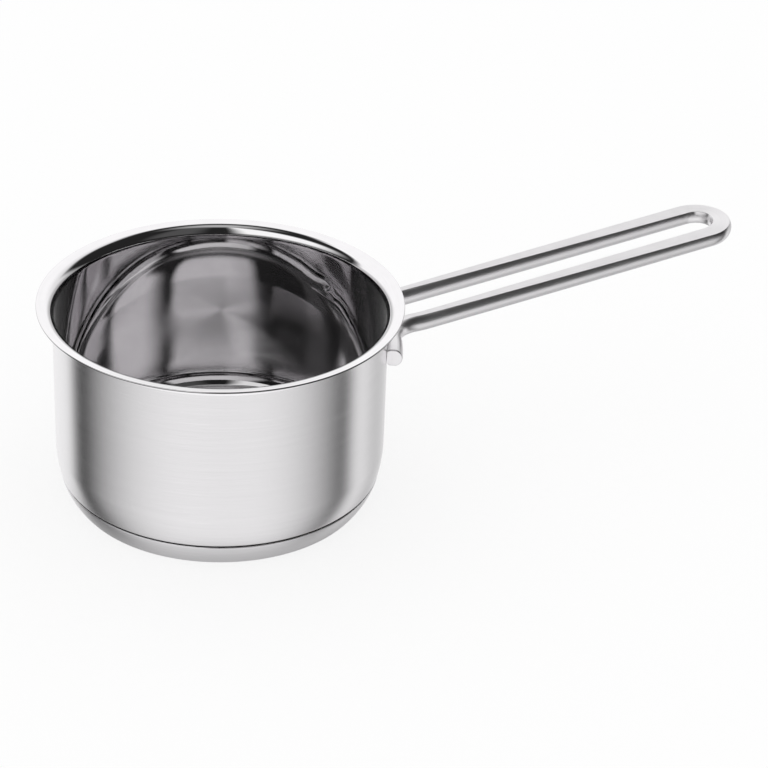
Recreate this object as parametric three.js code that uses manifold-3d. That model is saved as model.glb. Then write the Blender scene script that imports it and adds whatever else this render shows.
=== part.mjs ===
// Saucepan: a drawn steel pan with a capsule base and a welded hairpin rod handle.
// Millimetres, +Z up. The origin is the centre of the base underside, and the handle points along +X.

import * as THREE from "three";
import { mergeVertices } from "three/addons/utils/BufferGeometryUtils.js";
import Module from "manifold-3d";

const wasm = await Module();
wasm.setup();

// Pan body
const innerDiameter = 140;
const sheet = 0.75;
const overallHeight = 90;
const bellyRadius = 55;
const bellyTop = 25.2;
const cornerRadius = 5;
const curveRadius = 16;
const creaseRadius = 2.5;
const creaseLeanDegrees = 34;

// Flared pouring rim
const lipReach = 6.75;
const lipRootRadius = 5;
const lipRiseDegrees = 8;

// Capsule base
const capSheet = 0.6;
const coreThickness = 9.25;
const seamHeight = 11.6;
const seamGroove = 0.35;
const capInset = 0.3;
const capSideRadius = 28;
const footEdgeRadius = 1;
const coreRimDegrees = 60;

// Handle rod
const rodDiameter = 8;
const rodSpacing = 23.6;
const handleLength = 178;
const handleDrop = 21.4;
const handleRiseDegrees = 6;
const riseBlend = 6;
const gripWidth = 9.3;
const gripThickness = 5.7;
const neckThickness = 7.6;
const stubBendRadius = 17;
const stubLength = 14.5;
const stubFlat = 1.6;
const stubChamfer = 0.5;

// Weld nuggets
const weldDiameter = 4;
const weldInset = 6;
const weldDepth = 1.2;
const weldEdge = 0.3;

// Clearance between neighbours that touch on the real pan
const seatGap = 0.3;

// Fineness of the facets
const aroundSteps = 64;
const rootSteps = 4;
const edgeSteps = 3;
const cornerSteps = 5;
const bellySteps = 4;
const capSteps = 4;
const sideSteps = 6;
const loopSteps = 20;
const straightSteps = 9;
const bendSteps = 6;
const stubSteps = 5;
const weldSteps = 24;

// Derived sizes of the pan
const innerRadius = innerDiameter / 2;
const wallRadius = innerRadius + sheet;
const floorUnder = capSheet + coreThickness;
const floorTop = floorUnder + sheet;
const bellyCentre = new THREE.Vector2(wallRadius - bellyRadius, bellyTop);
const bellyInner = bellyRadius - sheet;
const cornerHeight = floorTop + cornerRadius;
const cornerDrop = bellyTop - cornerHeight;
const cornerOut = Math.sqrt((bellyInner - cornerRadius) ** 2 - cornerDrop ** 2);
const cornerCentre = new THREE.Vector2(bellyCentre.x + cornerOut, cornerHeight);
const cornerLean = Math.atan2(cornerDrop, cornerOut);
const cornerOuter = cornerRadius + sheet;
const quarterTurn = Math.PI / 2;

// Derived sizes of the inside corner: a wide curve off the belly, then a tight crease into the floor
const creaseLean = THREE.MathUtils.degToRad(creaseLeanDegrees);
const creaseHeight = floorTop + creaseRadius;
const curveHeight = creaseHeight + (curveRadius - creaseRadius) * Math.sin(creaseLean);
const curveLean = Math.asin((bellyTop - curveHeight) / (bellyInner - curveRadius));
const curveCentre = new THREE.Vector2(
  bellyCentre.x + (bellyInner - curveRadius) * Math.cos(curveLean),
  curveHeight
);
const creaseCentre = new THREE.Vector2(
  curveCentre.x + (curveRadius - creaseRadius) * Math.cos(creaseLean),
  creaseHeight
);

// Derived sizes of the rim
const lipRise = THREE.MathUtils.degToRad(lipRiseDegrees);
const lipTurn = quarterTurn - lipRise;
const lipEdgeRadius = sheet / 2;
const rimRadius = wallRadius + lipReach;
const lipRootOut = innerRadius + lipRootRadius;
const lipFlat = (rimRadius - lipEdgeRadius - lipRootOut) / Math.cos(lipRise)
  + (lipRootRadius - lipEdgeRadius) * Math.tan(lipRise);
const lipEdgeAcross = (lipRootRadius - lipEdgeRadius) * Math.cos(lipRise);
const lipRootHeight = overallHeight - lipEdgeRadius - lipEdgeAcross - lipFlat * Math.sin(lipRise);
const lipRootCentre = new THREE.Vector2(lipRootOut, lipRootHeight);
const lipEdgeCentre = new THREE.Vector2(rimRadius - lipEdgeRadius, overallHeight - lipEdgeRadius);

// Derived sizes of the capsule base
const capTop = seamHeight - seamGroove;
const capLean = Math.asin((bellyTop - capTop) / bellyRadius);
const capTopRadius = bellyCentre.x + bellyRadius * Math.cos(capLean) - capInset;
const capCentre = new THREE.Vector2(
  capTopRadius - capSideRadius * Math.cos(capLean),
  capTop + capSideRadius * Math.sin(capLean)
);
const footLean = Math.asin((capCentre.y - footEdgeRadius) / (capSideRadius - footEdgeRadius));
const footRadius = capCentre.x + (capSideRadius - footEdgeRadius) * Math.cos(footLean);
const footCentre = new THREE.Vector2(footRadius, footEdgeRadius);

// Points of an arc in the profile plane, with angles in radians from the outward axis
function arc(centre, radius, from, to, steps) {
  const points = [];
  for (let step = 0; step <= steps; step += 1) {
    const angle = from + (to - from) * step / steps;
    points.push(new THREE.Vector2(
      centre.x + radius * Math.cos(angle),
      centre.y + radius * Math.sin(angle)
    ));
  }
  return points;
}

// Angle at which an arc below its centre reaches a given height
function angleAtHeight(centre, radius, height) {
  return -Math.asin((centre.y - height) / radius);
}

// Solid of revolution about Z from a profile that starts and ends on the axis
function turned(profile, steps = aroundSteps) {
  const geometry = new THREE.LatheGeometry(profile, steps);
  return geometry.rotateX(quarterTurn);
}

// Pan body: underside, outer wall and rim, then back down the inside
function panBodyGeometry() {
  const profile = [
    new THREE.Vector2(0, floorUnder),
    ...arc(cornerCentre, cornerOuter, -quarterTurn, -cornerLean, cornerSteps),
    ...arc(bellyCentre, bellyRadius, -cornerLean, 0, bellySteps).slice(1),
    ...arc(lipRootCentre, lipRootRadius - sheet, Math.PI, Math.PI - lipTurn, rootSteps),
    ...arc(lipEdgeCentre, lipEdgeRadius, lipRise - quarterTurn, lipRise + quarterTurn, edgeSteps),
    ...arc(lipRootCentre, lipRootRadius, Math.PI - lipTurn, Math.PI, rootSteps),
    ...arc(bellyCentre, bellyInner, 0, -curveLean, bellySteps),
    ...arc(curveCentre, curveRadius, -curveLean, -creaseLean, cornerSteps).slice(1),
    ...arc(creaseCentre, creaseRadius, -creaseLean, -quarterTurn, edgeSteps).slice(1),
    new THREE.Vector2(0, floorTop)
  ];
  return turned(profile);
}

// Base cap: a dish whose lip closes against the body below the seam
function baseCapGeometry() {
  const inside = capSideRadius - capSheet;
  const lipSeat = cornerOuter + seatGap;
  const lipAngle = angleAtHeight(cornerCentre, lipSeat, capTop);
  const lipInside = cornerCentre.x + lipSeat * Math.cos(lipAngle);
  const floorAngle = angleAtHeight(capCentre, inside, capSheet);
  const taperAngle = -(capLean + (footLean - capLean) / capSteps);
  const profile = [
    new THREE.Vector2(0, 0),
    ...arc(footCentre, footEdgeRadius, -quarterTurn, -footLean, edgeSteps),
    ...arc(capCentre, capSideRadius, -footLean, -capLean, capSteps).slice(1),
    new THREE.Vector2(lipInside, capTop),
    ...arc(capCentre, inside, taperAngle, floorAngle, capSteps),
    new THREE.Vector2(0, capSheet)
  ];
  return turned(profile);
}

// Base core: a disc with a raised rim that fills the capsule
function baseCoreGeometry() {
  const inside = capSideRadius - capSheet - seatGap;
  const under = cornerOuter + seatGap;
  const rimAngle = -THREE.MathUtils.degToRad(coreRimDegrees);
  const rimHeight = cornerCentre.y + under * Math.sin(rimAngle);
  const flatAngle = angleAtHeight(cornerCentre, under, floorUnder);
  const bottomAngle = angleAtHeight(capCentre, inside, capSheet);
  const topAngle = angleAtHeight(capCentre, inside, rimHeight);
  const profile = [
    new THREE.Vector2(0, capSheet),
    ...arc(capCentre, inside, bottomAngle, topAngle, capSteps),
    ...arc(cornerCentre, under, rimAngle, flatAngle, capSteps),
    new THREE.Vector2(0, floorUnder)
  ];
  return turned(profile);
}

// Derived sizes of the handle
const rodRadius = rodDiameter / 2;
const halfSpacing = rodSpacing / 2;
const handleHeight = overallHeight - handleDrop;
const handleRise = THREE.MathUtils.degToRad(handleRiseDegrees);
const contactRadius = wallRadius + seatGap;
const stubRadius = contactRadius + rodRadius - stubFlat;
const bendOut = stubRadius + stubBendRadius;
const bendAngle = Math.asin((halfSpacing + stubBendRadius) / bendOut);
const stubSweep = stubLength / stubRadius;
const stubEndAngle = bendAngle + stubSweep;
const straightStart = bendOut * Math.cos(bendAngle);
const loopCentreX = wallRadius + handleLength - (halfSpacing + gripWidth / 2) * Math.cos(handleRise);

// Height of the rod's centre line, which leaves the pan level and then climbs steadily
function rodHeight(x) {
  const past = Math.max(0, x - straightStart);
  const slope = Math.tan(handleRise);
  if (past < riseBlend) {
    return handleHeight + slope * past * past / (2 * riseBlend);
  }
  return handleHeight + slope * (past - riseBlend / 2);
}

// One half of the rod's centre line, from the cut end on the +Y side to the tip of the loop
function halfRodPath() {
  const path = [];
  for (let step = 0; step < stubSteps; step += 1) {
    const angle = stubEndAngle - stubSweep * step / stubSteps;
    path.push([stubRadius * Math.cos(angle), stubRadius * Math.sin(angle)]);
  }
  const turn = quarterTurn - bendAngle;
  for (let step = 0; step < bendSteps; step += 1) {
    const angle = Math.PI + bendAngle + turn * step / bendSteps;
    path.push([
      bendOut * Math.cos(bendAngle) + stubBendRadius * Math.cos(angle),
      bendOut * Math.sin(bendAngle) + stubBendRadius * Math.sin(angle)
    ]);
  }
  for (let step = 0; step < straightSteps; step += 1) {
    const share = step / straightSteps;
    path.push([straightStart + (loopCentreX - straightStart) * share, halfSpacing]);
  }
  for (let step = 0; step <= loopSteps / 2; step += 1) {
    const angle = quarterTurn - Math.PI * step / loopSteps;
    const along = halfSpacing * Math.cos(angle) * Math.cos(handleRise);
    path.push([loopCentreX + along, halfSpacing * Math.sin(angle)]);
  }
  return path.map(([x, y]) => new THREE.Vector3(x, y, rodHeight(x)));
}

// Full centre line of the hairpin, from one cut end to the other
function rodPath() {
  const half = halfRodPath();
  const mirrored = half.slice(0, -1).reverse().map((p) => new THREE.Vector3(p.x, -p.y, p.z));
  return [...half, ...mirrored];
}

// Section of the rod at a place along the handle: a round rod pressed between flat dies
function rodSection(x, shrink = 0) {
  const share = THREE.MathUtils.clamp((x - straightStart) / (loopCentreX - straightStart), 0, 1);
  const radius = THREE.MathUtils.lerp(rodDiameter, gripWidth, share) / 2 - shrink;
  const half = THREE.MathUtils.lerp(neckThickness, gripThickness, share) / 2 - shrink;
  const flatAngle = Math.asin(Math.min(1, half / radius));
  const side = arc(new THREE.Vector2(0, 0), radius, -flatAngle, flatAngle, sideSteps);
  const opposite = side.map((p) => new THREE.Vector2(-p.x, -p.y));
  return [...side, ...opposite];
}

// One ring of section points, square to the path
function sectionRing(point, tangent, section) {
  const side = new THREE.Vector3().crossVectors(tangent, new THREE.Vector3(0, 0, 1)).normalize();
  const up = new THREE.Vector3().crossVectors(side, tangent).normalize();
  return section.map((p) => point.clone().addScaledVector(side, p.x).addScaledVector(up, p.y));
}

// Closed solid through a row of rings with equal point counts
function lofted(rings) {
  const count = rings[0].length;
  const positions = rings.flat().flatMap((p) => [p.x, p.y, p.z]);
  const index = [];
  for (let ring = 0; ring < rings.length - 1; ring += 1) {
    for (let spot = 0; spot < count; spot += 1) {
      const next = (spot + 1) % count;
      const a = ring * count + spot;
      const b = ring * count + next;
      index.push(a, b + count, b, a, a + count, b + count);
    }
  }
  const last = (rings.length - 1) * count;
  for (let spot = 1; spot < count - 1; spot += 1) {
    index.push(0, spot, spot + 1);
    index.push(last, last + spot + 1, last + spot);
  }
  const geometry = new THREE.BufferGeometry();
  geometry.setAttribute("position", new THREE.Float32BufferAttribute(positions, 3));
  geometry.setIndex(index);
  return geometry;
}

// The bent rod before its ends are pressed against the wall
function bentRodGeometry() {
  const path = rodPath();
  const last = path.length - 1;
  const rings = path.map((point, i) => {
    const before = path[Math.max(0, i - 1)];
    const after = path[Math.min(last, i + 1)];
    const tangent = new THREE.Vector3().subVectors(after, before).normalize();
    return sectionRing(point, tangent, rodSection(point.x));
  });
  const firstTangent = new THREE.Vector3().subVectors(path[1], path[0]).normalize();
  const lastTangent = new THREE.Vector3().subVectors(path[last], path[last - 1]).normalize();
  const small = rodSection(path[0].x, stubChamfer);
  const firstEnd = path[0].clone().addScaledVector(firstTangent, -stubChamfer);
  const lastEnd = path[last].clone().addScaledVector(lastTangent, stubChamfer);
  rings.unshift(sectionRing(firstEnd, firstTangent, small));
  rings.push(sectionRing(lastEnd, lastTangent, small));
  return lofted(rings);
}

// Turns a closed geometry into a solid for joining and cutting
function toSolid(geometry) {
  const bare = geometry.clone();
  bare.deleteAttribute("normal");
  bare.deleteAttribute("uv");
  const merged = mergeVertices(bare);
  return new wasm.Manifold(new wasm.Mesh({
    numProp: 3,
    vertProperties: new Float32Array(merged.attributes.position.array),
    triVerts: new Uint32Array(merged.index.array)
  }));
}

// Turns a solid back into a geometry
function toGeometry(solid) {
  const mesh = solid.getMesh();
  const geometry = new THREE.BufferGeometry();
  geometry.setAttribute("position", new THREE.Float32BufferAttribute(mesh.vertProperties, 3));
  geometry.setIndex(new THREE.Uint32BufferAttribute(mesh.triVerts, 1));
  return geometry;
}

// Middle of each weld, as an angle about the pan axis, measured back from the rod's cut end
const weldAngle = stubEndAngle - weldInset / stubRadius;
const weldRadius = weldDiameter / 2;
const weldTop = contactRadius + weldDepth;

// Short round solid at one of the welds, between two distances from the pan axis
function weldButton(side, radius, from, to) {
  const profile = [
    new THREE.Vector2(0, from),
    new THREE.Vector2(radius, from),
    new THREE.Vector2(radius, to - weldEdge),
    new THREE.Vector2(radius - weldEdge, to),
    new THREE.Vector2(0, to)
  ];
  const geometry = turned(profile, weldSteps);
  geometry.rotateY(quarterTurn);
  geometry.rotateZ(side * weldAngle);
  return geometry.translate(0, 0, handleHeight);
}

// Handle rod: the bent rod with seats for the pan wall and pockets for the weld nuggets
function handleRodGeometry() {
  const tall = rodDiameter + gripWidth;
  const wall = new THREE.CylinderGeometry(contactRadius, contactRadius, tall, aroundSteps);
  wall.rotateX(quarterTurn);
  wall.translate(0, 0, handleHeight);
  let rod = toSolid(bentRodGeometry()).subtract(toSolid(wall));
  for (const side of [1, -1]) {
    const pocket = weldButton(side, weldRadius + seatGap, wallRadius, weldTop + seatGap);
    rod = rod.subtract(toSolid(pocket));
  }
  return toGeometry(rod);
}

// Weld nugget between a rod end and the wall
function weldGeometry(side) {
  return weldButton(side, weldRadius, contactRadius, weldTop);
}

// Bare metal finish
function metal(color, roughness) {
  return new THREE.MeshStandardMaterial({ color, roughness, metalness: 1 });
}

// The whole saucepan
const saucepan = new THREE.Group();
saucepan.name = "saucepan";

// Adds one named piece to the saucepan
function addPiece(name, geometry, material) {
  const mesh = new THREE.Mesh(geometry, material);
  mesh.name = name;
  saucepan.add(mesh);
}

addPiece("pan_body", panBodyGeometry(), metal("#c4c4c6", 0.28));
addPiece("base_core", baseCoreGeometry(), metal("#b9bbbd", 0.45));
addPiece("base_cap", baseCapGeometry(), metal("#bcbcbe", 0.3));
addPiece("handle_rod", handleRodGeometry(), metal("#c8c8ca", 0.32));
addPiece("left_weld", weldGeometry(-1), metal("#a9a9ac", 0.5));
addPiece("right_weld", weldGeometry(1), metal("#a9a9ac", 0.5));

export default saucepan;
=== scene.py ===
"""Steel saucepan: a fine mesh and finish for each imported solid. Metres, +Z up, handle along +X."""

from math import asin, atan2, ceil, cos, exp, pi, radians, sin, sqrt, tan

import bmesh
import bpy
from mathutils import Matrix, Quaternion, Vector


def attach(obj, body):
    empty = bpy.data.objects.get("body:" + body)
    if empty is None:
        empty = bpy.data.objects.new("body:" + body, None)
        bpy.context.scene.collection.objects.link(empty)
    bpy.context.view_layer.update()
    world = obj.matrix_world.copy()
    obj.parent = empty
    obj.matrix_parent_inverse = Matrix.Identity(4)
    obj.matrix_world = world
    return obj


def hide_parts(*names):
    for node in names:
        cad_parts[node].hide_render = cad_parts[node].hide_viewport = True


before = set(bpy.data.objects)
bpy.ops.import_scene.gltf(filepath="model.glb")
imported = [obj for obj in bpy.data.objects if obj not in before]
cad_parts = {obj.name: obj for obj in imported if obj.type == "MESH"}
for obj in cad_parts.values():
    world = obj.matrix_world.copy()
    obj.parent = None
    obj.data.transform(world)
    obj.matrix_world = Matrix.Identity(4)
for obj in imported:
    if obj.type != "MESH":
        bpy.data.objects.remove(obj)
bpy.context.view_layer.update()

MM = 0.001
QUARTER = pi / 2

# Pan body, as in the solids but for the wall's slight draft
INNER_RADIUS = 70 * MM
SHEET = 0.75 * MM
OVERALL_HEIGHT = 90 * MM
BELLY_RADIUS = 55 * MM
BELLY_TOP = 25.2 * MM
CORNER_RADIUS = 5 * MM
CURVE_RADIUS = 16 * MM
CREASE_RADIUS = 2.5 * MM
CREASE_LEAN = radians(34)
WALL_DRAFT = 0.16 * MM

# Flared pouring rim, a hair inside the solids' box
LIP_REACH = 6.71 * MM
LIP_ROOT_RADIUS = 5 * MM
LIP_RISE = radians(8)
LIP_TOP_MARGIN = 0.01 * MM
LIP_CUT_TURN = radians(18)

# Capsule base, whose cap ends in a rounded lip just proud of the wall's tucked edge
CAP_SHEET = 0.6 * MM
CORE_THICKNESS = 9.25 * MM
SEAM_HEIGHT = 11.25 * MM
SEAM_GROOVE = 0.35 * MM
CAP_LIP_RADIUS = 0.35 * MM
SEAM_DEPTH = 0.7 * MM
CAP_LIP_TURN = radians(100)
TUCK_RADIUS = 1 * MM
TUCK_GAP = 0.55 * MM
CAP_LIP_PROUD = 0.15 * MM
CAP_TAPER_SHARE = 0.25
CAP_SIDE_RADIUS = 28 * MM
FOOT_EDGE_RADIUS = 1 * MM
CORE_RIM_ANGLE = radians(60)
SEAT_GAP = 0.3 * MM

# Handle rod
ROD_RADIUS = 4 * MM
HALF_SPACING = 11.8 * MM
HANDLE_LENGTH = 178 * MM
HANDLE_DROP = 21.4 * MM
HANDLE_RISE = radians(6)
RISE_BLEND = 6 * MM
GRIP_HALF_WIDTH = 4.65 * MM
GRIP_HALF_THICKNESS = 2.85 * MM
NECK_HALF_THICKNESS = 3.8 * MM
FLAT_EDGE_RADIUS = 0.3 * MM
STUB_BEND_RADIUS = 17 * MM
STUB_LENGTH = 14.5 * MM
STUB_FLAT = 1.6 * MM
STUB_CHAMFER = 0.5 * MM
LOOP_TIP_MARGIN = 0.02 * MM

# Weld nuggets
WELD_RADIUS = 2 * MM
WELD_INSET = 6 * MM
WELD_DEPTH = 1.2 * MM
WELD_EDGE = 0.3 * MM
WELD_WAVES = 7
WELD_WAVE_DEPTH = 0.02
WELD_SIDES = 48

# Marks that the welding left on the inner wall: along the wall away from the handle, and up
MARK_DENT = 0.1 * MM
MARK_SPREAD = 5 * MM
MARK_PIP_RADIUS = 0.9 * MM
MARK_PIP_WIDTH = 0.36 * MM
MARK_PIP_DEPTH = 0.08 * MM
MARK_CREASE_DEPTH = 0.06 * MM
MARK_CREASE_WIDTH = 0.55 * MM
MARK_CREASES = (
    ((-2.9 * MM, -4.3 * MM), (9.65 * MM, -1.7 * MM)),
    ((-8.4 * MM, 1.4 * MM), (1.6 * MM, 4.5 * MM)),
)
MARK_FADE_PAST = 0.06
MARK_FADE_WITHIN = 0.1
MARK_REACH = 14 * MM
MARK_HALF_HEIGHT = 8.4 * MM

# How finely the outlines are cut: lengths of straight stretches, turns of arcs, and counts
FLAT_STEP = 6 * MM
RIM_STEP = 0.6 * MM
UPPER_WALL_STEP = 1 * MM
LOWER_WALL_STEP = 1.5 * MM
MARK_STEP = 0.35 * MM
MARK_TURN = radians(0.35)
EDGE_TURN = radians(15)
CAP_LIP_STEP = radians(12)
FOOT_TURN = radians(8)
ROOT_TURN = radians(3)
CURVE_TURN = radians(1.5)
BELLY_TURN = radians(1)
INNER_BELLY_TURN = radians(0.75)
PAN_SIDES = 240
CAP_SIDES = 256
CORE_SIDES = 128
ROD_ROUND_STEPS = 12
ROD_EDGE_STEPS = 5
ROD_FLAT_SHARES = 0.06, 0.3, 0.65
STUB_CHAMFER_STEPS = 5
SAME_POINT = 1e-9

ROD_UV = "rod_length"

# Share of green in the steel's grey, which is a touch cool
STEEL_GREEN = 0.985

# Turn that spreads a brushed shine across the brushing, and the softness of a polished surface's haze
SHINE_TURN = 0.25
HAZE_ROUGHNESS = 0.45

# Radii between which spun steel grows smoother
SPUN_FADE_START = 10 * MM
SPUN_FADE_END = 46 * MM

# Floor, and the share of its white that the pan's shadow leaves alone
FLOOR_HALF_SIDE = 3
FLOOR_GREY = 0.97
FLOOR_WHITENESS = 0.8

# Net that stands for the studio, in metres and degrees, and the dark gap between two of its panels
STUDIO_RADIUS = 6
STUDIO_STEP = 2
GAP_AZIMUTH = -93
GAP_LEAN = 0.42

# Photograph's camera: where it stands, and the pixel that the rim's centre falls on
FRAME_PIXELS = 768
SENSOR_WIDTH = 36
FOCAL_PIXELS = 2594
CAMERA_DISTANCE = 1.0935
CAMERA_AZIMUTH = radians(-22)
CAMERA_ELEVATION = radians(28.05)
CAMERA_ROLL = radians(0.36)
RIM_PIXEL = (221.1, 300.4)

# Sizes that follow from those above
WALL_RADIUS = INNER_RADIUS + SHEET
FLOOR_UNDER = CAP_SHEET + CORE_THICKNESS
FLOOR_TOP = FLOOR_UNDER + SHEET
BELLY_CENTRE = (WALL_RADIUS - BELLY_RADIUS, BELLY_TOP)
BELLY_INNER = BELLY_RADIUS - SHEET
WALL_FOOT_RADIUS = INNER_RADIUS - WALL_DRAFT
CORNER_HEIGHT = FLOOR_TOP + CORNER_RADIUS
CORNER_DROP = BELLY_TOP - CORNER_HEIGHT
CORNER_OUT = sqrt((BELLY_INNER - CORNER_RADIUS) ** 2 - CORNER_DROP ** 2)
CORNER_CENTRE = (BELLY_CENTRE[0] + CORNER_OUT, CORNER_HEIGHT)
CORNER_OUTER = CORNER_RADIUS + SHEET

# Inside corner: a wide curve off the belly, then a tight crease into the floor
CREASE_HEIGHT = FLOOR_TOP + CREASE_RADIUS
CURVE_HEIGHT = CREASE_HEIGHT + (CURVE_RADIUS - CREASE_RADIUS) * sin(CREASE_LEAN)
CURVE_REACH = BELLY_INNER - WALL_DRAFT - CURVE_RADIUS
CURVE_LEAN = asin((BELLY_TOP - CURVE_HEIGHT) / CURVE_REACH)
CURVE_CENTRE = (BELLY_CENTRE[0] + CURVE_REACH * cos(CURVE_LEAN), CURVE_HEIGHT)
CREASE_OUT = CURVE_CENTRE[0] + (CURVE_RADIUS - CREASE_RADIUS) * cos(CREASE_LEAN)
CREASE_CENTRE = (CREASE_OUT, CREASE_HEIGHT)

LIP_TURN = QUARTER - LIP_RISE
LIP_EDGE_RADIUS = SHEET / 2
RIM_RADIUS = WALL_RADIUS + LIP_REACH
RIM_TOP = OVERALL_HEIGHT - LIP_TOP_MARGIN
LIP_ROOT_OUT = INNER_RADIUS + LIP_ROOT_RADIUS
LIP_EDGE_ACROSS = (LIP_ROOT_RADIUS - LIP_EDGE_RADIUS) * cos(LIP_RISE)
LIP_FLAT = (
    (RIM_RADIUS - LIP_EDGE_RADIUS - LIP_ROOT_OUT) / cos(LIP_RISE)
    + (LIP_ROOT_RADIUS - LIP_EDGE_RADIUS) * tan(LIP_RISE)
)
LIP_ROOT_HEIGHT = RIM_TOP - LIP_EDGE_RADIUS - LIP_EDGE_ACROSS - LIP_FLAT * sin(LIP_RISE)
LIP_ROOT_CENTRE = (LIP_ROOT_OUT, LIP_ROOT_HEIGHT)
LIP_EDGE_CENTRE = (RIM_RADIUS - LIP_EDGE_RADIUS, RIM_TOP - LIP_EDGE_RADIUS)

CAP_TOP = SEAM_HEIGHT - SEAM_GROOVE
TUCK_HEIGHT = CAP_TOP + TUCK_GAP + TUCK_RADIUS
TUCK_LEAN = asin((BELLY_TOP - TUCK_HEIGHT) / (BELLY_RADIUS - TUCK_RADIUS))
TUCK_CENTRE = (BELLY_CENTRE[0] + (BELLY_RADIUS - TUCK_RADIUS) * cos(TUCK_LEAN), TUCK_HEIGHT)
CAP_LEAN = asin((BELLY_TOP - CAP_TOP) / BELLY_RADIUS)
CAP_TOP_RADIUS = BELLY_CENTRE[0] + BELLY_RADIUS * cos(CAP_LEAN) + CAP_LIP_PROUD
CAP_CENTRE = (
    CAP_TOP_RADIUS - CAP_SIDE_RADIUS * cos(CAP_LEAN),
    CAP_TOP + CAP_SIDE_RADIUS * sin(CAP_LEAN),
)
FOOT_LEAN = asin((CAP_CENTRE[1] - FOOT_EDGE_RADIUS) / (CAP_SIDE_RADIUS - FOOT_EDGE_RADIUS))
FOOT_CENTRE = (
    CAP_CENTRE[0] + (CAP_SIDE_RADIUS - FOOT_EDGE_RADIUS) * cos(FOOT_LEAN),
    FOOT_EDGE_RADIUS,
)

HANDLE_HEIGHT = OVERALL_HEIGHT - HANDLE_DROP
CONTACT_RADIUS = WALL_RADIUS + SEAT_GAP
STUB_RADIUS = CONTACT_RADIUS + ROD_RADIUS - STUB_FLAT
BEND_OUT = STUB_RADIUS + STUB_BEND_RADIUS
BEND_ANGLE = asin((HALF_SPACING + STUB_BEND_RADIUS) / BEND_OUT)
STUB_SWEEP = STUB_LENGTH / STUB_RADIUS
STUB_END_ANGLE = BEND_ANGLE + STUB_SWEEP
STRAIGHT_START = BEND_OUT * cos(BEND_ANGLE)
LOOP_TIP = WALL_RADIUS + HANDLE_LENGTH - LOOP_TIP_MARGIN
LOOP_CENTRE_X = LOOP_TIP - (HALF_SPACING + GRIP_HALF_WIDTH) * cos(HANDLE_RISE)
WELD_ANGLE = STUB_END_ANGLE - WELD_INSET / STUB_RADIUS


# Soft steps

def rise(value, low, high):
    """Smooth step from 0 at low to 1 at high."""
    share = min(1, max(0, (value - low) / (high - low)))
    return share * share * (3 - 2 * share)


def fall(value, low, high):
    return 1 - rise(value, low, high)


def ramp(value, edge, first, last):
    """Smooth change from the first share to the last one, across an edge of two values."""
    return first + (last - first) * rise(value, *edge)


def window(value, start_edge, end_edge):
    """1 between two soft edges, and 0 outside them."""
    return rise(value, *start_edge) * fall(value, *end_edge)


# Outlines of turned pieces

def arc(centre, radius, start, end, step=radians(4)):
    """Points of an arc in the profile plane, with angles in radians from the outward axis."""
    count = max(2, ceil(abs(end - start) / step))
    angles = [start + (end - start) * i / count for i in range(count + 1)]
    return [(centre[0] + radius * cos(a), centre[1] + radius * sin(a)) for a in angles]


def line(start, end, step=2 * MM):
    """Points of a straight stretch of a profile."""
    length = sqrt((end[0] - start[0]) ** 2 + (end[1] - start[1]) ** 2)
    count = max(1, ceil(length / step))
    shares = [i / count for i in range(count + 1)]
    return [tuple(a + (b - a) * s for a, b in zip(start, end)) for s in shares]


def lean_at(centre, radius, height):
    """Angle at which an arc below its centre reaches a height."""
    return -asin((centre[1] - height) / radius)


def on_arc(centre, radius, angle):
    return (centre[0] + radius * cos(angle), centre[1] + radius * sin(angle))


def even_angles(steps):
    return [2 * pi * i / steps for i in range(steps)]


def weld_angles(steps=PAN_SIDES, fine=MARK_TURN):
    """Even angles, with more of them round the two weld marks."""
    reach = MARK_REACH / INNER_RADIUS
    mark = [WELD_ANGLE - reach + i * fine for i in range(ceil(2 * reach / fine) + 1)]
    back = [a for a in even_angles(steps) if mark[-1] + fine < a < 2 * pi - mark[-1] - fine]
    front = [a for a in even_angles(steps) if a < mark[0] - fine]
    round_back = mark + back + [2 * pi - a for a in reversed(mark)]
    return round_back + [2 * pi - a for a in reversed(front[1:])] + [2 * pi + a for a in front]


def turned(name, strips, angles, materials, shape=None):
    """Closed mesh turned about Z. Each strip is (material index, points), and joins the next one.

    The first strip starts and the last one ends on the axis. shape may move a point by its place."""
    rows, row_material = [], []
    for index, points in strips:
        for radius, height in points:
            same = rows and abs(rows[-1][0] - radius) + abs(rows[-1][1] - height) < SAME_POINT
            if not same:
                rows.append((radius, height))
                row_material.append(index)
    mesh = bmesh.new()
    rings = []
    for radius, height in rows:
        if radius < SAME_POINT:
            rings.append([mesh.verts.new((0, 0, height))])
            continue
        ring = []
        for angle in angles:
            r, z = shape(radius, height, angle) if shape else (radius, height)
            ring.append(mesh.verts.new((r * cos(angle), r * sin(angle), z)))
        rings.append(ring)
    count = len(angles)
    for k in range(len(rings) - 1):
        low, high = rings[k], rings[k + 1]
        for i in range(count):
            j = (i + 1) % count
            corners = [low[i % len(low)], low[j % len(low)], high[j % len(high)], high[i % len(high)]]
            face = mesh.faces.new(list(dict.fromkeys(corners)))
            face.material_index = row_material[k + 1]
    return finished(name, mesh, materials)


def finished(name, mesh, materials, sharp=radians(35)):
    """Object from a bmesh, shaded smooth except along its sharp edges."""
    data = bpy.data.meshes.new(name)
    mesh.to_mesh(data)
    mesh.free()
    data.shade_smooth()
    data.set_sharp_from_angle(angle=sharp)
    for material in materials:
        data.materials.append(material)
    piece = bpy.data.objects.new(name, data)
    bpy.context.scene.collection.objects.link(piece)
    return piece


def dress(piece, node):
    """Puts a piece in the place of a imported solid."""
    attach(piece, "root")
    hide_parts(node)
    return piece


# Pan body

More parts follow.
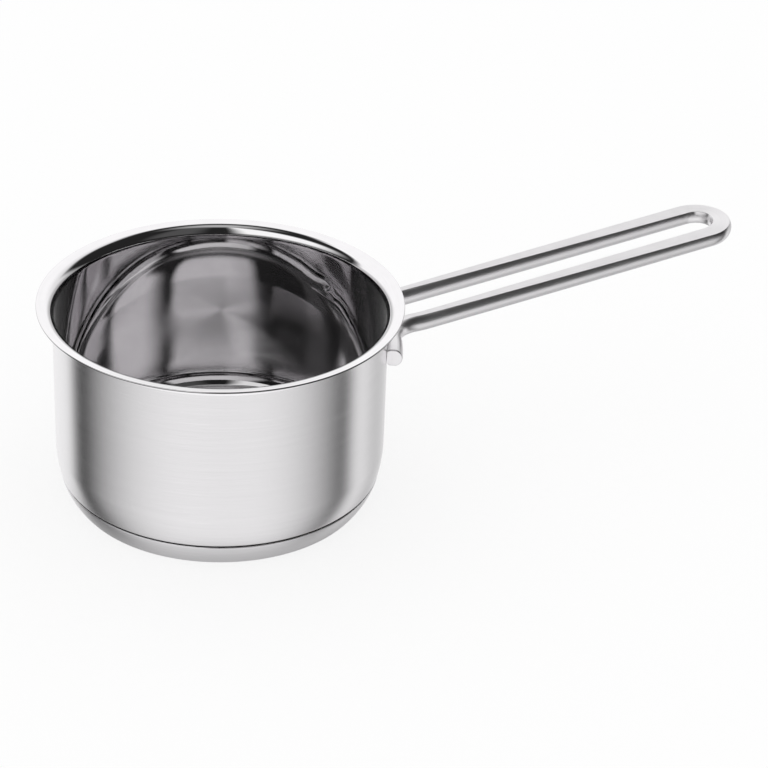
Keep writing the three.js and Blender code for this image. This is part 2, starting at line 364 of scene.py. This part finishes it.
def weld_mark(along, up):
    """How far the inner wall is pressed outwards at a place seen from a weld's centre."""
    away = sqrt(along * along + up * up)
    depth = MARK_DENT * exp(-((away / MARK_SPREAD) ** 2))
    depth += MARK_PIP_DEPTH * exp(-(((away - MARK_PIP_RADIUS) / MARK_PIP_WIDTH) ** 2))
    for (start_along, start_up), (end_along, end_up) in MARK_CREASES:
        share = (along - start_along) / (end_along - start_along)
        off = up - start_up - (end_up - start_up) * share
        start_edge = (-MARK_FADE_PAST, MARK_FADE_WITHIN)
        end_edge = (1 - MARK_FADE_WITHIN, 1 + MARK_FADE_PAST)
        fade = window(share, start_edge, end_edge)
        depth += MARK_CREASE_DEPTH * fade * exp(-((off / MARK_CREASE_WIDTH) ** 2))
    return depth


def marked_wall(radius, height, angle):
    """Moves a point of the inner wall by the weld marks, and leaves every other point."""
    up = height - HANDLE_HEIGHT
    if radius > INNER_RADIUS + SHEET / 2 or abs(up) > MARK_REACH:
        return radius, height
    turn = (angle + pi) % (2 * pi) - pi
    along = (abs(turn) - WELD_ANGLE) * INNER_RADIUS
    return radius + weld_mark(along, up), height


def wall_point(height):
    """Point of the inner wall, which narrows a hair towards its foot."""
    share = (height - BELLY_TOP) / (LIP_ROOT_CENTRE[1] - BELLY_TOP)
    return (WALL_FOOT_RADIUS + WALL_DRAFT * share, height)


def pan_body(materials):
    """Drawn sheet: under its floor, up the outside, over the rim, and down the inside."""
    outside, rim, cut_edge, inside, floor, hidden = range(6)
    shoulder = lean_at(CORNER_CENTRE, CORNER_OUTER, CAP_TOP + TUCK_GAP)
    lip_start = (WALL_RADIUS, LIP_ROOT_CENTRE[1])
    wall_foot = (WALL_RADIUS, BELLY_TOP)
    inner_top = (INNER_RADIUS, LIP_ROOT_CENTRE[1])
    inner_foot = (WALL_FOOT_RADIUS, BELLY_TOP)
    mark_top = wall_point(HANDLE_HEIGHT + MARK_HALF_HEIGHT)
    mark_foot = wall_point(HANDLE_HEIGHT - MARK_HALF_HEIGHT)
    under_root = arc(LIP_ROOT_CENTRE, LIP_ROOT_RADIUS - SHEET, pi, pi - LIP_TURN)
    # Lower part of the rim's edge bead, which takes a near-black painted shade
    cut = arc(LIP_EDGE_CENTRE, LIP_EDGE_RADIUS, LIP_RISE - QUARTER, LIP_CUT_TURN, EDGE_TURN)
    edge = arc(LIP_EDGE_CENTRE, LIP_EDGE_RADIUS, LIP_CUT_TURN, LIP_RISE + QUARTER, EDGE_TURN)
    over_root = arc(LIP_ROOT_CENTRE, LIP_ROOT_RADIUS, pi - LIP_TURN, pi, ROOT_TURN)
    curve = arc(CURVE_CENTRE, CURVE_RADIUS, -CURVE_LEAN, -CREASE_LEAN, CURVE_TURN)
    crease = arc(CREASE_CENTRE, CREASE_RADIUS, -CREASE_LEAN, -QUARTER)
    strips = [
        (hidden, line((0, FLOOR_UNDER), (CORNER_CENTRE[0], FLOOR_UNDER), FLAT_STEP)),
        # The corner's face behind the seam groove takes the dark hidden sheet, a painted shade there
        (hidden, arc(CORNER_CENTRE, CORNER_OUTER, -QUARTER, shoulder)),
        (outside, arc(TUCK_CENTRE, TUCK_RADIUS, -QUARTER, -TUCK_LEAN, FOOT_TURN)),
        (outside, arc(BELLY_CENTRE, BELLY_RADIUS, -TUCK_LEAN, 0, BELLY_TURN)),
        (outside, line(wall_foot, lip_start, FLAT_STEP)),
        (rim, under_root),
        (rim, line(under_root[-1], cut[0], RIM_STEP)),
        (cut_edge, cut),
        (rim, edge),
        (rim, line(edge[-1], over_root[0], RIM_STEP)),
        (rim, over_root),
        (inside, line(inner_top, mark_top, UPPER_WALL_STEP)),
        (inside, line(mark_top, mark_foot, MARK_STEP)),
        (inside, line(mark_foot, inner_foot, LOWER_WALL_STEP)),
        (inside, arc(BELLY_CENTRE, BELLY_INNER - WALL_DRAFT, 0, -CURVE_LEAN, INNER_BELLY_TURN)),
        (inside, curve),
        (inside, crease),
        (floor, line(crease[-1], (0, FLOOR_TOP), FLAT_STEP)),
    ]
    return turned("pan_body_steel", strips, weld_angles(), materials, marked_wall)


# Capsule base

def base_cap(materials):
    """Pressed dish that holds the core, with a rounded lip at the seam."""
    side, under, hidden = range(3)
    inside = CAP_SIDE_RADIUS - CAP_SHEET
    lip_seat = CORNER_OUTER + SEAT_GAP
    lip_inside = on_arc(CORNER_CENTRE, lip_seat, lean_at(CORNER_CENTRE, lip_seat, CAP_TOP - SEAM_DEPTH))
    floor_lean = lean_at(CAP_CENTRE, inside, CAP_SHEET)
    floor_rim = (on_arc(CAP_CENTRE, inside, floor_lean)[0], CAP_SHEET)
    taper = -(CAP_LEAN + (FOOT_LEAN - CAP_LEAN) * CAP_TAPER_SHARE)
    lip_lean = lean_at(CAP_CENTRE, CAP_SIDE_RADIUS - CAP_LIP_RADIUS, CAP_TOP - CAP_LIP_RADIUS)
    lip_centre = on_arc(CAP_CENTRE, CAP_SIDE_RADIUS - CAP_LIP_RADIUS, lip_lean)
    strips = [
        (under, line((0, 0), (FOOT_CENTRE[0], 0))),
        (side, arc(FOOT_CENTRE, FOOT_EDGE_RADIUS, -QUARTER, -FOOT_LEAN, FOOT_TURN)),
        (side, arc(CAP_CENTRE, CAP_SIDE_RADIUS, -FOOT_LEAN, lip_lean, CURVE_TURN)),
        (side, arc(lip_centre, CAP_LIP_RADIUS, lip_lean, CAP_LIP_TURN, CAP_LIP_STEP)),
        # The lip's inner face drops into the seam groove and takes the same painted shade
        (hidden, [lip_inside]),
        (hidden, arc(CAP_CENTRE, inside, taper, floor_lean)),
        (hidden, line(floor_rim, (0, CAP_SHEET), FLAT_STEP)),
    ]
    return turned("base_cap_steel", strips, even_angles(CAP_SIDES), materials)


def base_core(material):
    """Disc between the cap and the pan's floor, with a raised rim under the corner."""
    inside = CAP_SIDE_RADIUS - CAP_SHEET - SEAT_GAP
    under = CORNER_OUTER + SEAT_GAP
    rim = on_arc(CORNER_CENTRE, under, -CORE_RIM_ANGLE)
    flat = lean_at(CORNER_CENTRE, under, FLOOR_UNDER)
    bottom = lean_at(CAP_CENTRE, inside, CAP_SHEET)
    top = lean_at(CAP_CENTRE, inside, rim[1])
    strips = [
        (0, line((0, CAP_SHEET), on_arc(CAP_CENTRE, inside, bottom), FLAT_STEP)),
        (0, arc(CAP_CENTRE, inside, bottom, top)),
        (0, arc(CORNER_CENTRE, under, -CORE_RIM_ANGLE, flat)),
        (0, line(on_arc(CORNER_CENTRE, under, flat), (0, FLOOR_UNDER), FLAT_STEP)),
    ]
    return turned("base_core_disc", strips, even_angles(CORE_SIDES), [material])


# Handle rod

def rod_height(x):
    """Height of the rod's centre line, which leaves the pan level and then climbs steadily."""
    past = max(0, x - STRAIGHT_START)
    slope = tan(HANDLE_RISE)
    if past < RISE_BLEND:
        return HANDLE_HEIGHT + slope * past * past / (2 * RISE_BLEND)
    return HANDLE_HEIGHT + slope * (past - RISE_BLEND / 2)


def half_rod_path(stub_steps=24, bend_steps=30, straight_steps=90, loop_steps=40):
    """Centre line from the cut end on the +Y side to the tip of the loop."""
    path = []
    for i in range(stub_steps):
        angle = STUB_END_ANGLE - STUB_SWEEP * i / stub_steps
        path.append((STUB_RADIUS * cos(angle), STUB_RADIUS * sin(angle)))
    for i in range(bend_steps):
        angle = pi + BEND_ANGLE + (QUARTER - BEND_ANGLE) * i / bend_steps
        path.append((
            BEND_OUT * cos(BEND_ANGLE) + STUB_BEND_RADIUS * cos(angle),
            BEND_OUT * sin(BEND_ANGLE) + STUB_BEND_RADIUS * sin(angle),
        ))
    for i in range(straight_steps):
        path.append((STRAIGHT_START + (LOOP_CENTRE_X - STRAIGHT_START) * i / straight_steps, HALF_SPACING))
    for i in range(loop_steps + 1):
        angle = QUARTER - QUARTER * i / loop_steps
        along = HALF_SPACING * cos(angle) * cos(HANDLE_RISE)
        path.append((LOOP_CENTRE_X + along, HALF_SPACING * sin(angle)))
    return [Vector((x, y, rod_height(x))) for x, y in path]


def rod_section(x, shrink=0):
    """Section of the rod at a place along the handle: a round rod pressed between flat dies."""
    along = min(1, max(0, (x - STRAIGHT_START) / (LOOP_CENTRE_X - STRAIGHT_START)))
    radius = ROD_RADIUS + (GRIP_HALF_WIDTH - ROD_RADIUS) * along - shrink
    half = NECK_HALF_THICKNESS + (GRIP_HALF_THICKNESS - NECK_HALF_THICKNESS) * along - shrink
    edge = FLAT_EDGE_RADIUS
    edge_out = sqrt((radius - edge) ** 2 - (half - edge) ** 2)
    turn = atan2(half - edge, edge_out)
    quarter = [on_arc((0, 0), radius, turn * i / ROD_ROUND_STEPS) for i in range(ROD_ROUND_STEPS)]
    edge_turns = [turn + (QUARTER - turn) * i / ROD_EDGE_STEPS for i in range(ROD_EDGE_STEPS + 1)]
    quarter += [on_arc((edge_out, half - edge), edge, a) for a in edge_turns]
    quarter += [(edge_out * (1 - share), half) for share in ROD_FLAT_SHARES]
    upper = quarter + [(0, half)] + [(-a, b) for a, b in reversed(quarter)]
    return upper + [(a, -b) for a, b in reversed(upper[1:-1])]


def rod_ring(point, tangent, section):
    """Points of a section square to the path, held off the pan wall."""
    side = tangent.cross(Vector((0, 0, 1))).normalized()
    up = side.cross(tangent).normalized()
    ring = []
    for across, above in section:
        spot = point + side * across + up * above
        out = sqrt(spot.x ** 2 + spot.y ** 2)
        if out < CONTACT_RADIUS:
            spot.x *= CONTACT_RADIUS / out
            spot.y *= CONTACT_RADIUS / out
        ring.append(spot)
    return ring


def handle_rod(material):
    """Rod swept along the hairpin, with chamfered ends and a UV map that follows its length."""
    half = half_rod_path()
    path = half + [Vector((p.x, -p.y, p.z)) for p in reversed(half[:-1])]
    last = len(path) - 1
    tangents = [(path[min(last, i + 1)] - path[max(0, i - 1)]).normalized() for i in range(last + 1)]
    rings = [rod_ring(p, t, rod_section(p.x)) for p, t in zip(path, tangents)]
    for i in range(1, STUB_CHAMFER_STEPS + 1):
        turn = QUARTER * i / STUB_CHAMFER_STEPS
        shrink = STUB_CHAMFER * (1 - cos(turn))
        out = STUB_CHAMFER * sin(turn)
        section = rod_section(path[0].x, shrink)
        rings.insert(0, rod_ring(path[0] - tangents[0] * out, tangents[0], section))
        rings.append(rod_ring(path[last] + tangents[last] * out, tangents[last], section))
    mesh = bmesh.new()
    uv = mesh.loops.layers.uv.new(ROD_UV)
    rows = [[mesh.verts.new(p) for p in ring] for ring in rings]
    count = len(rows[0])
    along = 0
    for low, high in zip(rows, rows[1:]):
        length = (high[0].co - low[0].co).length
        around = 0
        for i in range(count):
            j = (i + 1) % count
            width = (low[j].co - low[i].co).length
            face = mesh.faces.new((low[i], high[i], high[j], low[j]))
            corners = ((0, 0), (length, 0), (length, width), (0, width))
            for loop, (u, v) in zip(face.loops, corners):
                loop[uv].uv = (along + u, around + v)
            around += width
        along += length
    for ring in (rows[0], rows[-1][::-1]):
        end_face(mesh, ring, uv)
    return finished("handle_rod_steel", mesh, [material])


def end_face(mesh, ring, uv, inset=0.94):
    """Closes the rod's cut end with a flat face and a narrow border."""
    middle = sum((v.co for v in ring), Vector()) / len(ring)
    inner = [mesh.verts.new(middle + (v.co - middle) * inset) for v in ring]
    count = len(ring)
    faces = [mesh.faces.new(inner)]
    for i in range(count):
        j = (i + 1) % count
        faces.append(mesh.faces.new((ring[i], ring[j], inner[j], inner[i])))
    for face in faces:
        for loop in face.loops:
            loop[uv].uv = (loop.vert.co.z, loop.vert.co.x)


# Weld nuggets

def weld_nugget(name, side, material):
    """Fused button between a rod end and the wall, with a wavy edge."""
    mesh = bmesh.new()
    angles = even_angles(WELD_SIDES)
    levels = [(WELD_RADIUS, 0), (WELD_RADIUS, WELD_DEPTH - WELD_EDGE)]
    levels += [
        (WELD_RADIUS - WELD_EDGE * (1 - cos(a)), WELD_DEPTH - WELD_EDGE * (1 - sin(a)))
        for a in (radians(30), radians(60), QUARTER)
    ]
    middle = Vector((cos(side * WELD_ANGLE), sin(side * WELD_ANGLE), 0))
    across = Vector((-middle.y, middle.x, 0))
    up = Vector((0, 0, 1))
    seat = middle * CONTACT_RADIUS + up * HANDLE_HEIGHT
    rings = []
    for radius, out in levels:
        wavy = [radius * (1 - WELD_WAVE_DEPTH * (1 + sin(WELD_WAVES * a))) for a in angles]
        rings.append([
            mesh.verts.new(seat + middle * out + across * r * cos(a) + up * r * sin(a))
            for a, r in zip(angles, wavy)
        ])
    count = len(angles)
    for low, high in zip(rings, rings[1:]):
        for i in range(count):
            j = (i + 1) % count
            mesh.faces.new((low[i], low[j], high[j], high[i]))
    mesh.faces.new(rings[0][::-1])
    mesh.faces.new(rings[-1])
    return finished(name, mesh, [material])


# Materials

def metal(name, anisotropy=0.0, along="radial"):
    """Material with a metal shader. Brushed metal spreads its shine across the brushing."""
    material = bpy.data.materials.new(name)
    material.use_nodes = True
    tree = material.node_tree
    shader = tree.nodes["Principled BSDF"]
    shader.inputs["Metallic"].default_value = 1.0
    if anisotropy:
        shader.inputs["Anisotropic"].default_value = anisotropy
        shader.inputs["Anisotropic Rotation"].default_value = SHINE_TURN
        tangent = tree.nodes.new("ShaderNodeTangent")
        if along == "radial":
            tangent.direction_type = "RADIAL"
            tangent.axis = "Z"
        else:
            tangent.direction_type = "UV_MAP"
            tangent.uv_map = along
        tree.links.new(tangent.outputs["Tangent"], shader.inputs["Tangent"])
    return material


def node(tree, kind, inputs, **settings):
    """Adds a node, with sockets linked or set to plain values, and returns its first output."""
    made = tree.nodes.new("ShaderNode" + kind)
    for key, value in settings.items():
        setattr(made, key, value)
    for key, value in inputs.items():
        if isinstance(value, bpy.types.NodeSocket):
            tree.links.new(value, made.inputs[key])
        else:
            made.inputs[key].default_value = value
    return made.outputs[0]


def object_coords(tree):
    return tree.nodes.new("ShaderNodeTexCoord").outputs["Object"]


def ring_coords(tree):
    """Object coordinates with the distance from the axis in place of the height."""
    coords = object_coords(tree)
    parts = tree.nodes.new("ShaderNodeSeparateXYZ")
    tree.links.new(coords, parts.inputs[0])
    flat = node(tree, "CombineXYZ", {"X": parts.outputs["X"], "Y": parts.outputs["Y"]})
    out = tree.nodes.new("ShaderNodeVectorMath")
    out.operation = "LENGTH"
    tree.links.new(flat, out.inputs[0])
    ring = {"X": parts.outputs["X"], "Y": parts.outputs["Y"], "Z": out.outputs["Value"]}
    return node(tree, "CombineXYZ", ring)


def streaks(tree, coords, sizes, detail=2.0):
    """Noise from 0 to 1 whose spots measure about the sizes along each axis."""
    rates = tuple(1 / size for size in sizes)
    spread = node(tree, "VectorMath", {0: coords, 1: rates}, operation="MULTIPLY")
    return node(tree, "TexNoise", {"Vector": spread, "Scale": 1.0, "Detail": detail})


def between(tree, value, low, high, start=0.3, end=0.7):
    """Spreads a noise value from low at its start to high at its end."""
    inputs = {"Value": value, "From Min": start, "From Max": end, "To Min": low, "To Max": high}
    return node(tree, "MapRange", inputs)


def swing(tree, noise, about, by):
    """Value that a noise moves to either side of its middle."""
    return between(tree, noise, about - by, about + by)


def total(tree, first, second):
    return node(tree, "Math", {0: first, 1: second}, operation="ADD")


def set_finish(material, grey, roughness, height=None, depth=0.0):
    """Links what varies to the shader, with the height as a bump of that depth."""
    tree = material.node_tree
    shader = tree.nodes["Principled BSDF"]
    green = node(tree, "Math", {0: grey, 1: STEEL_GREEN}, operation="MULTIPLY")
    colour = node(tree, "CombineColor", {"Red": grey, "Green": green, "Blue": grey})
    tree.links.new(colour, shader.inputs["Base Color"])
    tree.links.new(roughness, shader.inputs["Roughness"])
    if height is not None:
        normal = node(tree, "Bump", {"Height": height, "Strength": 1.0, "Distance": depth})
        tree.links.new(normal, shader.inputs["Normal"])
    return material


def brushed_steel(name, grey, roughness):
    """Steel brushed round the axis, with broad bands, fine lines and a few long hairlines."""
    material = metal(name, anisotropy=0.8)
    tree = material.node_tree
    coords = object_coords(tree)
    fine = streaks(tree, coords, sizes=(40 * MM, 40 * MM, 0.2 * MM))
    broad = streaks(tree, coords, sizes=(90 * MM, 90 * MM, 1.6 * MM))
    hair = streaks(tree, coords, sizes=(22 * MM, 22 * MM, 0.35 * MM), detail=0.0)
    shade = total(tree, swing(tree, fine, about=0, by=0.02), swing(tree, broad, about=grey, by=0.012))
    shade = total(tree, shade, between(tree, hair, low=0, high=0.03, start=0.74, end=0.8))
    rough = total(tree, swing(tree, fine, about=0, by=0.01), swing(tree, broad, about=roughness, by=0.012))
    return set_finish(material, shade, rough, height=fine, depth=0.0003 * MM)


def spun_steel(name, grey, roughness, edge_roughness, anisotropy):
    """Steel turned flat on a lathe: fine rings round the axis, rubbed smoother towards its edge."""
    material = metal(name, anisotropy)
    tree = material.node_tree
    coords = ring_coords(tree)
    fine = streaks(tree, coords, sizes=(25 * MM, 25 * MM, 0.2 * MM))
    broad = streaks(tree, coords, sizes=(80 * MM, 80 * MM, 2.5 * MM))
    shade = total(tree, swing(tree, fine, about=0, by=0.008), swing(tree, broad, about=grey, by=0.006))
    parts = tree.nodes.new("ShaderNodeSeparateXYZ")
    tree.links.new(coords, parts.inputs[0])
    fade = {"Value": parts.outputs["Z"], "From Min": SPUN_FADE_START, "From Max": SPUN_FADE_END}
    fade.update({"To Min": roughness, "To Max": edge_roughness})
    rubbed = node(tree, "MapRange", fade, interpolation_type="SMOOTHSTEP")
    rough = total(tree, rubbed, swing(tree, broad, about=0, by=0.008))
    return set_finish(material, shade, rough)


def polished_steel(name, grey, roughness, haze, waves):
    """Mirror polish with faint polishing lines, a soft haze and the drawn sheet's slight waves."""
    material = metal(name)
    tree = material.node_tree
    shader = tree.nodes["Principled BSDF"]
    shader.inputs["Sheen Weight"].default_value = haze
    shader.inputs["Sheen Roughness"].default_value = HAZE_ROUGHNESS
    coords = object_coords(tree)
    lines = streaks(tree, coords, sizes=(18 * MM, 18 * MM, 0.25 * MM))
    cloud = streaks(tree, coords, sizes=(9 * MM, 9 * MM, 6 * MM), detail=3.0)
    wave = streaks(tree, coords, sizes=(14 * MM, 14 * MM, 30 * MM), detail=1.0)
    shade = total(tree, swing(tree, lines, about=0, by=0.012), swing(tree, cloud, about=grey, by=0.012))
    lined = between(tree, lines, low=0, high=0.01)
    cloudy = between(tree, cloud, low=0.8 * roughness, high=1.3 * roughness)
    rough = total(tree, lined, cloudy)
    return set_finish(material, shade, rough, height=wave, depth=waves)


def satin_steel(name, grey, roughness, uv_map):
    """Rod brushed along its length, with die marks and small rubs."""
    material = metal(name, anisotropy=0.7, along=uv_map)
    tree = material.node_tree
    coords = node(tree, "UVMap", {}, uv_map=uv_map)
    fine = streaks(tree, coords, sizes=(18 * MM, 0.16 * MM, 1))
    broad = streaks(tree, coords, sizes=(60 * MM, 1.2 * MM, 1))
    rub = streaks(tree, object_coords(tree), sizes=(6 * MM, 6 * MM, 6 * MM), detail=4.0)
    shade = total(tree, swing(tree, fine, about=0, by=0.02), swing(tree, broad, about=grey, by=0.015))
    brushed = swing(tree, fine, about=0, by=0.012)
    rubbed = between(tree, rub, low=roughness - 0.015, high=roughness + 0.03)
    rough = total(tree, brushed, rubbed)
    return set_finish(material, shade, rough, height=fine, depth=0.001 * MM)


def rolled_metal(name, grey, roughness):
    """Sheet or disc as it leaves the mill, with soft mottling; a low grey makes it painted shade."""
    material = metal(name)
    tree = material.node_tree
    coords = object_coords(tree)
    lines = streaks(tree, coords, sizes=(20 * MM, 0.4 * MM, 20 * MM))
    mottle = streaks(tree, coords, sizes=(5 * MM, 5 * MM, 5 * MM), detail=4.0)
    shade = total(tree, swing(tree, lines, about=0, by=0.03), swing(tree, mottle, about=grey, by=0.03))
    rough = swing(tree, mottle, about=roughness, by=0.06)
    return set_finish(material, shade, rough, height=lines, depth=0.002 * MM)


def raw_weld(name, grey, roughness):
    """Fused metal with a scaly skin."""
    material = metal(name)
    tree = material.node_tree
    coords = object_coords(tree)
    scale = streaks(tree, coords, sizes=(0.5 * MM, 0.5 * MM, 0.5 * MM), detail=5.0)
    shade = between(tree, scale, low=grey - 0.15, high=grey + 0.1)
    rough = between(tree, scale, low=roughness - 0.1, high=roughness + 0.15)
    return set_finish(material, shade, rough, height=scale, depth=0.08 * MM)


# Stage

def make_floor():
    """Plain white floor with the pan's faint shadow. The metal mirrors the studio instead of it."""
    mesh = bmesh.new()
    bmesh.ops.create_grid(mesh, x_segments=2, y_segments=2, size=FLOOR_HALF_SIDE)
    material = bpy.data.materials.new("pale_floor")
    material.use_nodes = True
    tree = material.node_tree
    shader = tree.nodes["Principled BSDF"]
    shader.inputs["Base Color"].default_value = (FLOOR_GREY, FLOOR_GREY, FLOOR_GREY, 1)
    shader.inputs["Roughness"].default_value = 1
    white = node(tree, "Emission", {"Color": (1, 1, 1, 1), "Strength": 1.0})
    seen = tree.nodes.new("ShaderNodeLightPath").outputs["Is Camera Ray"]
    share = node(tree, "Math", {0: seen, 1: FLOOR_WHITENESS}, operation="MULTIPLY")
    mixed = node(tree, "MixShader", {0: share, 1: shader.outputs["BSDF"], 2: white})
    tree.links.new(mixed, tree.nodes["Material Output"].inputs["Surface"])
    floor = finished("floor", mesh, [material])
    floor.visible_glossy = False


def make_world():
    """Even white light from all round."""
    world = bpy.data.worlds.new("studio")
    world.use_nodes = True
    world.node_tree.nodes["Background"].inputs["Color"].default_value = (1, 1, 1, 1)
    bpy.context.scene.world = world


def gap_azimuth(elevation):
    """Where the dark gap between the side panel and the back panel lies. It leans as it rises."""
    return GAP_AZIMUTH + GAP_LEAN * max(0, elevation)


def side_panel(azimuth, elevation):
    """Tall panel at left, with a sloping top and a dim foot."""
    gap = gap_azimuth(elevation)
    near_edge = (-177, -160)
    far_edge = (gap - 34, gap + 8)
    middle = -134
    middle_top = 62
    top_slope = 0.5
    top = middle_top - top_slope * (azimuth - middle)
    top_edge = (top - 8, top + 8)
    foot_edge = (6, 24)
    foot_light = 0.15
    lit = window(azimuth, near_edge, far_edge) * fall(elevation, *top_edge)
    return lit * ramp(elevation, foot_edge, foot_light, 1)


def back_panel(azimuth, elevation):
    """Wide panel behind the pan, which reaches further right low down and grows dimmer that way."""
    gap = gap_azimuth(elevation)
    left_edge = (gap + 5, gap + 18)
    narrow_end = 46
    widens_below = 28
    widening = 1.2
    end = narrow_end + widening * max(0, widens_below - max(0, elevation))
    right_edge = (end - 10, end + 11)
    dim_edge = (5, 55)
    dim_light = 0.7
    top_edge = (54, 64)
    foot_edge = (5, 21)
    foot_light = 0.55
    lit = window(azimuth, left_edge, right_edge) * ramp(azimuth, dim_edge, 1, dim_light)
    return lit * fall(elevation, *top_edge) * ramp(elevation, foot_edge, foot_light, 1)


def corner_panel(azimuth, elevation):
    """Faint panel at right, towards the camera."""
    left_edge = (112, 140)
    right_edge = (156, 178)
    foot_edge = (8, 22)
    light = 0.08
    return light * window(azimuth, left_edge, right_edge) * rise(elevation, *foot_edge)


def front_sweep(azimuth):
    """Paper under the pan, which brightens from beside it towards the camera."""
    left_start = 72
    right_start = 85
    full = 168
    steepness = 2.4
    start = left_start if azimuth < 0 else right_start
    past = min(1, max(0, (abs(azimuth) - start) / (full - start)))
    return 1 - (1 - past) ** steepness


def back_sweep(azimuth, elevation):
    """Paper behind the pan, dimmer in a stretch at right and, further left, close to the pan."""
    left_edge = (-68, -52)
    right_edge = (71, 89)
    dim_start = (5, 40)
    dim_end = (48, 66)
    dim_loss = 0.36
    loss_left = 0.25
    close_edge = (33, 48)
    close_end = (20, 50)
    close_loss = 0.6
    lit = window(azimuth, left_edge, right_edge)
    lit *= 1 - dim_loss * rise(azimuth, *dim_start) * ramp(azimuth, dim_end, 1, loss_left)
    return lit * (1 - close_loss * rise(-elevation, *close_edge) * fall(azimuth, *close_end))


def studio_light(azimuth, elevation):
    """Share of white that the studio shows in a direction, in degrees.

    Azimuth 0 is behind the pan as the photograph sees it, and 90 is to its right."""
    ceiling_edge = (68, 86)
    wall_light = 0.018
    ceiling_light = 0.468
    under_edge = (48, 75)
    under_light = 0.52
    least_sweep_light = 0.03
    horizon = (-4, 3)
    overhead = ramp(elevation, ceiling_edge, wall_light, ceiling_light)
    panels = [panel(azimuth, elevation) for panel in (side_panel, back_panel, corner_panel)]
    above = max(overhead, *panels)
    sweep = max(front_sweep(azimuth), back_sweep(azimuth, elevation), least_sweep_light)
    below = ramp(-elevation, under_edge, sweep, under_light)
    return ramp(elevation, horizon, below, above)


def make_studio():
    """Grey net round the pan that dims the white by studio_light for what the metal mirrors.

    Light that falls straight on what the camera sees passes it whole."""
    mesh = bmesh.new()
    light = mesh.verts.layers.float_color.new("light")
    rings = []
    for elevation in range(-90, 91, STUDIO_STEP):
        ring = []
        for azimuth in range(-180, 180, STUDIO_STEP):
            a, e = radians(azimuth), radians(elevation)
            heading = a - CAMERA_AZIMUTH
            spot = Vector((sin(heading) * cos(e), cos(heading) * cos(e), sin(e)))
            vert = mesh.verts.new(spot * STUDIO_RADIUS)
            share = studio_light(azimuth, elevation)
            vert[light] = (share, share, share, 1)
            ring.append(vert)
        rings.append(ring)
    count = len(rings[0])
    for low, high in zip(rings, rings[1:]):
        for i in range(count):
            j = (i + 1) % count
            mesh.faces.new((low[i], low[j], high[j], high[i]))
    material = bpy.data.materials.new("studio_net")
    material.use_nodes = True
    tree = material.node_tree
    tree.nodes.clear()
    shade = node(tree, "Attribute", {}, attribute_name="light")
    path = tree.nodes.new("ShaderNodeLightPath").outputs
    direct = node(tree, "Math", {0: path["Is Shadow Ray"], 1: path["Glossy Depth"]}, operation="SUBTRACT")
    passed = node(tree, "Math", {0: shade, 1: direct}, operation="MAXIMUM")
    net = node(tree, "BsdfTransparent", {"Color": passed})
    out = tree.nodes.new("ShaderNodeOutputMaterial")
    tree.links.new(net, out.inputs["Surface"])
    studio = finished("studio_net", mesh, [material])
    studio.visible_camera = False
    studio.visible_diffuse = False
    studio.visible_transmission = False


def make_camera():
    """Camera of the photograph, turned so that the rim's centre falls on its pixel."""
    rim = Vector((0, 0, OVERALL_HEIGHT))
    back = Vector((
        sin(CAMERA_AZIMUTH) * cos(CAMERA_ELEVATION),
        -cos(CAMERA_AZIMUTH) * cos(CAMERA_ELEVATION),
        sin(CAMERA_ELEVATION),
    ))
    straight = Vector((0, 0, -1))
    half = FRAME_PIXELS / 2
    to_rim = Vector((RIM_PIXEL[0] - half, half - RIM_PIXEL[1], -FOCAL_PIXELS))
    data = bpy.data.cameras.new("camera")
    data.sensor_width = SENSOR_WIDTH
    data.lens = SENSOR_WIDTH * FOCAL_PIXELS / FRAME_PIXELS
    camera = bpy.data.objects.new("camera", data)
    camera.location = rim + back * CAMERA_DISTANCE
    camera.rotation_mode = "QUATERNION"
    camera.rotation_quaternion = (
        (-back).to_track_quat("-Z", "Y")
        @ Quaternion((0, 0, 1), CAMERA_ROLL)
        @ to_rim.rotation_difference(straight)
    )
    bpy.context.scene.collection.objects.link(camera)
    bpy.context.scene.camera = camera


def main():
    outside = brushed_steel("pan_outside_brushed", grey=0.82, roughness=0.248)
    # Rim and inside are one polished steel in two greys: the rim's lighter grey is painted highlight, the
    # inside's darker grey painted shade
    rim = polished_steel("pan_rim_polished_painted_highlight", grey=0.93, roughness=0.03, haze=0.0, waves=0.0)
    # The rim's cut edge is painted near black: painted shade for the dark line under the rim
    cut_edge = rolled_metal("pan_rim_cut_edge_painted_shade", grey=0.12, roughness=0.35)
    inside = polished_steel("pan_inside_polished_painted_shade", grey=0.68, roughness=0.02, haze=0.13, waves=0.004 * MM)
    spun = spun_steel("pan_floor_spun", grey=0.9, roughness=0.262, edge_roughness=0.14, anisotropy=1.0)
    cap_side = brushed_steel("cap_side_brushed", grey=0.83, roughness=0.32)
    cap_under = spun_steel("cap_under_spun", grey=0.62, roughness=0.35, edge_roughness=0.35, anisotropy=0.8)
    # Sheet far darker than steel: painted shade in the seam groove, the one place where it shows
    hidden = rolled_metal("hidden_sheet_painted_shade", grey=0.2, roughness=0.4)
    handle = satin_steel("handle_satin", grey=0.88, roughness=0.305, uv_map=ROD_UV)
    core = rolled_metal("core_rolled", grey=0.8, roughness=0.4)
    weld = raw_weld("weld_raw", grey=0.45, roughness=0.5)
    dress(pan_body([outside, rim, cut_edge, inside, spun, hidden]), "pan_body")
    dress(base_cap([cap_side, cap_under, hidden]), "base_cap")
    dress(base_core(core), "base_core")
    dress(handle_rod(handle), "handle_rod")
    dress(weld_nugget("left_weld_nugget", -1, weld), "left_weld")
    dress(weld_nugget("right_weld_nugget", 1, weld), "right_weld")
    make_floor()
    make_world()
    make_studio()
    make_camera()
    bpy.context.scene.view_settings.view_transform = "Standard"


main()
